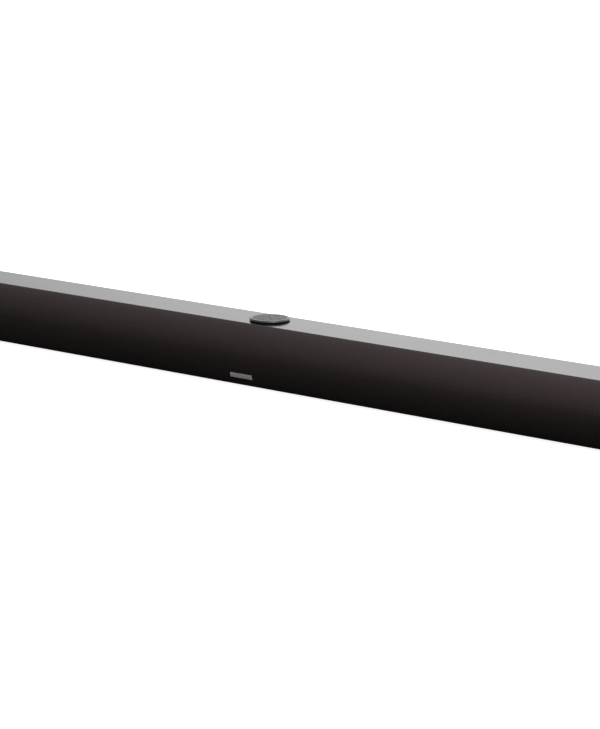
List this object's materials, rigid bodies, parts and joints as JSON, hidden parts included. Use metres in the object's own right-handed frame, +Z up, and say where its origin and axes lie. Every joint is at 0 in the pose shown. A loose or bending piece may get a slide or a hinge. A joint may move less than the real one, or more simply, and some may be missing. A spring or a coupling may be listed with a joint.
{
  "type": "soundbar",
  "caption": "Long low loudspeaker bar with a bowed cloth front, a glossy flat top with a round raised control pad, and a connector bay in the back.",
  "frame": {"origin": "middle of the footprint, on the surface that the feet stand on", "axes": "+X along the bar to its right-hand end seen from the front, +Y towards the back, +Z up"},
  "size_m": [0.9, 0.078, 0.069],
  "materials": {
    "case_plastic": "fine moulded texture",
    "gloss_top": "polished",
    "cap_plastic": "satin",
    "grille_cloth": "knitted acoustic cloth",
    "badge_metal": "satin",
    "panel_plastic": "fine moulded texture",
    "foot_rubber": "matt",
    "ring_plastic": "satin rim",
    "key_plastic": "satin",
    "board": "solder-masked glass laminate",
    "component_plastic": "moulded",
    "aluminium": "extruded",
    "socket_plastic": "moulded",
    "socket_metal": "plated",
    "clear_plastic": "clear moulding",
    "pressed_steel": "black coated",
    "cone_paper": "coated paper",
    "surround_rubber": "matt",
    "wadding": "loose polyester wadding",
    "screw_steel": "black oxide",
    "brass": "turned",
    "lead_insulation": "smooth"
  },
  "bodies": {
    "cabinet": {"bottom_tray": "case_plastic", "back_panel": "case_plastic", "top_cover": "gloss_top", "front_baffle": "case_plastic", "grille_frame": "case_plastic", "grille_cloth": "grille_cloth", "end_cap_left": "cap_plastic", "end_cap_right": "cap_plastic", "badge": "badge_metal", "connector_panel": "panel_plastic", "foot_front_left": "foot_rubber", "foot_front_right": "foot_rubber", "foot_back_left": "foot_rubber", "foot_back_right": "foot_rubber", "control_ring": "ring_plastic", "key_board": "board", "key_switches": "component_plastic", "main_board": "board", "heat_sink": "aluminium", "amplifier_chip": "component_plastic", "output_filters": "component_plastic", "wireless_module": "board", "power_board": "board", "power_transformer": "component_plastic", "power_capacitors": "component_plastic", "mains_inlet": "socket_plastic", "hdmi_socket": "socket_metal", "usb_socket": "socket_metal", "aux_jack": "socket_plastic", "optical_socket": "socket_plastic", "status_board": "board", "status_light_pipe": "clear_plastic", "remote_receiver": "component_plastic", "damping_wadding": "wadding", "case_screws": "screw_steel", "driver_screws": "screw_steel", "board_screws": "screw_steel", "wall_inserts": "brass", "speaker_leads": "lead_insulation", "driver_frame_1": "pressed_steel", "driver_magnet_1": "pressed_steel", "driver_surround_1": "surround_rubber", "driver_frame_2": "pressed_steel", "driver_magnet_2": "pressed_steel", "driver_surround_2": "surround_rubber", "driver_frame_3": "pressed_steel", "driver_magnet_3": "pressed_steel", "driver_surround_3": "surround_rubber", "driver_frame_4": "pressed_steel", "driver_magnet_4": "pressed_steel", "driver_surround_4": "surround_rubber"},
    "power_key": {"key_power": "key_plastic"},
    "source_key": {"key_source": "key_plastic"},
    "volume_up_key": {"key_volume_up": "key_plastic"},
    "volume_down_key": {"key_volume_down": "key_plastic"},
    "shutter": {"optical_shutter": "socket_plastic"},
    "cone_1": {"driver_cone_1": "cone_paper"},
    "cone_2": {"driver_cone_2": "cone_paper"},
    "cone_3": {"driver_cone_3": "cone_paper"},
    "cone_4": {"driver_cone_4": "cone_paper"}
  },
  "joints": [
    {"name": "power_key_press", "type": "slide", "parent": "cabinet", "child": "power_key", "axis": [0, 0, 1], "range_m": [-0.0004, 0], "stiffness_N_per_m": 900},
    {"name": "source_key_press", "type": "slide", "parent": "cabinet", "child": "source_key", "axis": [0, 0, 1], "range_m": [-0.0004, 0], "stiffness_N_per_m": 900},
    {"name": "volume_up_key_press", "type": "slide", "parent": "cabinet", "child": "volume_up_key", "axis": [0, 0, 1], "range_m": [-0.0004, 0], "stiffness_N_per_m": 900},
    {"name": "volume_down_key_press", "type": "slide", "parent": "cabinet", "child": "volume_down_key", "axis": [0, 0, 1], "range_m": [-0.0004, 0], "stiffness_N_per_m": 900},
    {"name": "shutter_swing", "type": "hinge", "parent": "cabinet", "child": "shutter", "pos_m": [0.068, 0.0238, 0.0228], "axis": [-1, 0, 0], "range_deg": [0, 80], "stiffness_Nm_per_rad": 0.0005},
    {"name": "cone_1_stroke", "type": "slide", "parent": "cabinet", "child": "cone_1", "axis": [0, -1, 0], "range_m": [-0.002, 0.002], "stiffness_N_per_m": 900, "deforming": ["driver_surround_1"]},
    {"name": "cone_2_stroke", "type": "slide", "parent": "cabinet", "child": "cone_2", "axis": [0, -1, 0], "range_m": [-0.002, 0.002], "stiffness_N_per_m": 900, "deforming": ["driver_surround_2"]},
    {"name": "cone_3_stroke", "type": "slide", "parent": "cabinet", "child": "cone_3", "axis": [0, -1, 0], "range_m": [-0.002, 0.002], "stiffness_N_per_m": 900, "deforming": ["driver_surround_3"]},
    {"name": "cone_4_stroke", "type": "slide", "parent": "cabinet", "child": "cone_4", "axis": [0, -1, 0], "range_m": [-0.002, 0.002], "stiffness_N_per_m": 900, "deforming": ["driver_surround_4"]}
  ]
}
